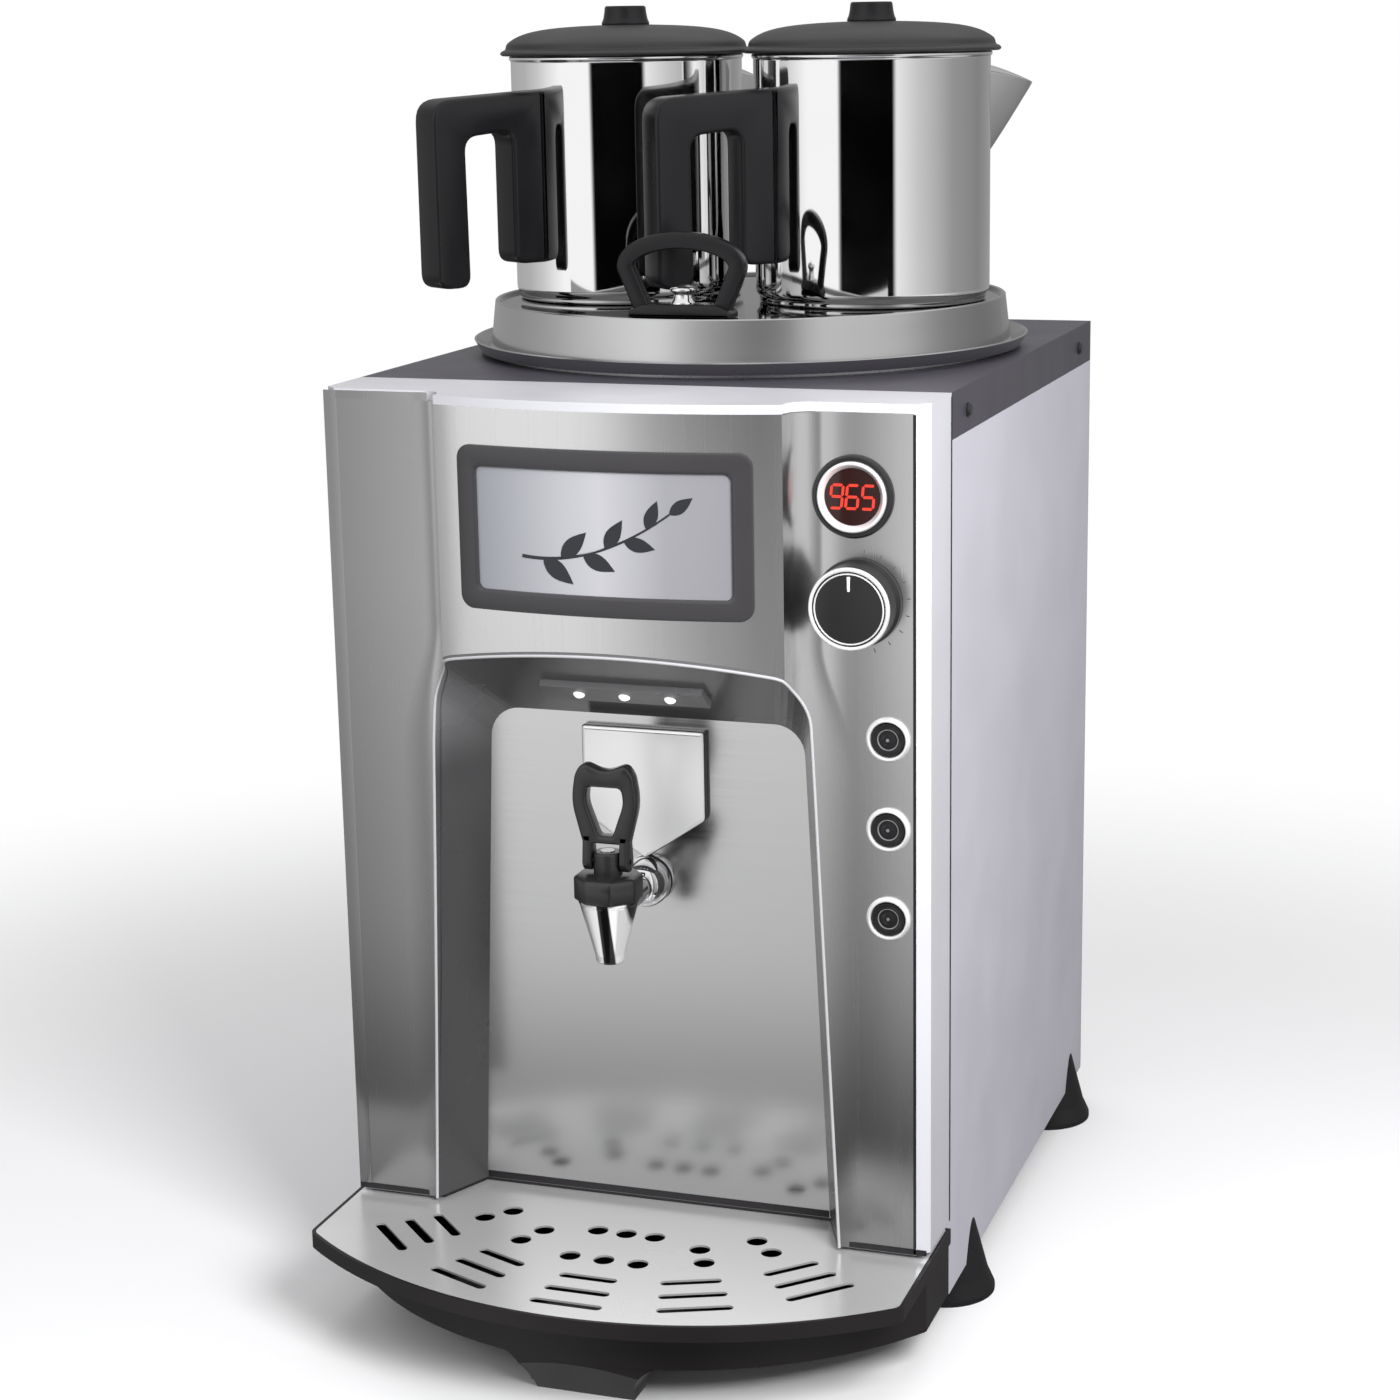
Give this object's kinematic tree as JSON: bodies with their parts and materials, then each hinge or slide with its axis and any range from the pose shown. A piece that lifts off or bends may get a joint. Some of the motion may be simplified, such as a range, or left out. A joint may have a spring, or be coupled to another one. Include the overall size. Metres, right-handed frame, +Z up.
{
  "type": "tea urn",
  "caption": "Tea urn: a boxy water boiler with a lever tap over a drip tray in an arched bay, side controls, and teapots warmed on a round steam dish.",
  "frame": {"origin": "on the counter, in the middle of the footprint from the tray's front edge to the cord gland", "axes": "+Z up; -Y towards the front with the tap; +X to the side with the controls"},
  "size_m": [0.3759, 0.5746, 0.7551],
  "materials": {
    "side_paint": "satin",
    "rear_paint": "satin",
    "top_paint": "satin",
    "base_steel": "satin",
    "foot_plastic": "matte",
    "bolt_steel": "zinc plated",
    "screw_black": "satin",
    "cover_plastic": "pale moulded plastic",
    "skin_steel": "brushed upright",
    "plinth_plastic": "matte",
    "panel_steel": "satin",
    "liner_plastic": "satin",
    "light_plastic": "satin",
    "led_lens": "clear lens",
    "sign_plastic": "satin",
    "sign_pane": "satin pane",
    "lamp_plastic": "matte",
    "instrument_plastic": "gloss",
    "trim_chrome": "polished",
    "window_plastic": "dark red window",
    "switch_plastic": "matte",
    "knob_plastic": "satin",
    "button_plastic": "gloss",
    "plate_aluminium": "satin",
    "tap_chrome": "polished",
    "tap_plastic": "gloss",
    "pin_steel": "ground",
    "silicone": "silicone",
    "gasket_rubber": "rubber",
    "nut_brass": "plain",
    "tank_steel": "plain stainless",
    "heater_steel": "dull",
    "gland_plastic": "matte",
    "tray_plastic": "satin",
    "plate_steel": "polished stainless",
    "dish_steel": "polished stainless",
    "nut_chrome": "polished",
    "handle_plastic": "satin",
    "pot_steel": "mirror polished stainless",
    "lid_coat": "satin dark grey"
  },
  "bodies": {
    "casing": {"side_panel_left": "side_paint", "side_panel_right": "side_paint", "rear_panel": "rear_paint", "top_cover": "top_paint", "base_pan": "base_steel", "feet": "foot_plastic", "foot_bolts": "bolt_steel", "rear_screws": "screw_black", "cover_screws": "screw_black", "front_cover": "cover_plastic", "front_skin": "skin_steel", "front_plinth": "plinth_plastic", "front_panel": "panel_steel", "recess_liner": "liner_plastic", "light_bar": "light_plastic", "light_leds": "led_lens", "sign_frame": "sign_plastic", "sign_panel": "sign_pane", "sign_lamp": "lamp_plastic", "thermometer_case": "instrument_plastic", "thermometer_ring": "trim_chrome", "button_bezels": "trim_chrome", "thermometer_window": "window_plastic", "thermostat": "switch_plastic", "switch_bodies": "switch_plastic", "tap_plate": "plate_aluminium", "tap_body": "tap_chrome", "tap_bonnet": "tap_plastic", "lever_pin": "pin_steel", "tank_seal": "silicone", "tap_gasket": "gasket_rubber", "tap_nut": "nut_brass", "heater_flange": "nut_brass", "boiler_tank": "tank_steel", "heating_element": "heater_steel", "temperature_probe": "heater_steel", "cord_gland": "gland_plastic"},
    "tap_lever": {"tap_lever": "tap_plastic"},
    "tap_stem": {"tap_stem": "pin_steel", "seat_cup": "silicone"},
    "thermostat_knob": {"thermostat_knob": "knob_plastic", "knob_ring": "trim_chrome"},
    "button_upper": {"button_upper": "button_plastic"},
    "button_middle": {"button_middle": "button_plastic"},
    "button_lower": {"button_lower": "button_plastic"},
    "drip_tray": {"drip_tray": "tray_plastic", "drip_plate": "plate_steel"},
    "steam_dish": {"steam_dish": "dish_steel", "loop_handle": "handle_plastic", "loop_nut": "nut_chrome"},
    "pot_left": {"pot_left": "pot_steel", "pot_left_handle": "handle_plastic"},
    "pot_right": {"pot_right": "pot_steel", "pot_right_handle": "handle_plastic"},
    "lid_left": {"lid_left": "lid_coat", "lid_left_knob": "handle_plastic"},
    "lid_right": {"lid_right": "lid_coat", "lid_right_knob": "handle_plastic"}
  },
  "joints": [
    {"name": "lever_pull", "type": "hinge", "parent": "casing", "child": "tap_lever", "pos_m": [0, -0.18825, 0.294], "axis": [1, 0, 0], "range_deg": [0, 50], "stiffness_Nm_per_rad": 0.25, "springref_deg": -17.19},
    {"name": "stem_lift", "type": "slide", "parent": "casing", "child": "tap_stem", "axis": [0, 0, 1], "range_m": [0, 0.003]},
    {"name": "knob_turn", "type": "hinge", "parent": "casing", "child": "thermostat_knob", "pos_m": [0.137, -0.16025, 0.441], "axis": [0, 1, 0], "range_deg": [0, 270]},
    {"name": "button_upper_press", "type": "slide", "parent": "casing", "child": "button_upper", "axis": [0, 1, 0], "range_m": [0, 0.003], "stiffness_N_per_m": 500, "springref_m": -0.002},
    {"name": "button_middle_press", "type": "slide", "parent": "casing", "child": "button_middle", "axis": [0, 1, 0], "range_m": [0, 0.003], "stiffness_N_per_m": 500, "springref_m": -0.002},
    {"name": "button_lower_press", "type": "slide", "parent": "casing", "child": "button_lower", "axis": [0, 1, 0], "range_m": [0, 0.003], "stiffness_N_per_m": 500, "springref_m": -0.002},
    {"name": "tray_pull", "type": "slide", "parent": "casing", "child": "drip_tray", "axis": [0, -1, 0], "range_m": [0, 0.08]},
    {"name": "dish_lift", "type": "slide", "parent": "casing", "child": "steam_dish", "axis": [0, 0, 1], "range_m": [0, 0.06]},
    {"name": "pot_left_lift", "type": "slide", "parent": "steam_dish", "child": "pot_left", "axis": [0, 0, 1], "range_m": [0, 0.12]},
    {"name": "pot_right_lift", "type": "slide", "parent": "steam_dish", "child": "pot_right", "axis": [0, 0, 1], "range_m": [0, 0.12]},
    {"name": "lid_left_lift", "type": "slide", "parent": "pot_left", "child": "lid_left", "axis": [0, 0, 1], "range_m": [0, 0.06]},
    {"name": "lid_right_lift", "type": "slide", "parent": "pot_right", "child": "lid_right", "axis": [0, 0, 1], "range_m": [0, 0.06]}
  ],
  "couplings": [
    {"joint": "lever_pull", "follows": "stem_lift", "rad_per_m": 290.88}
  ]
}
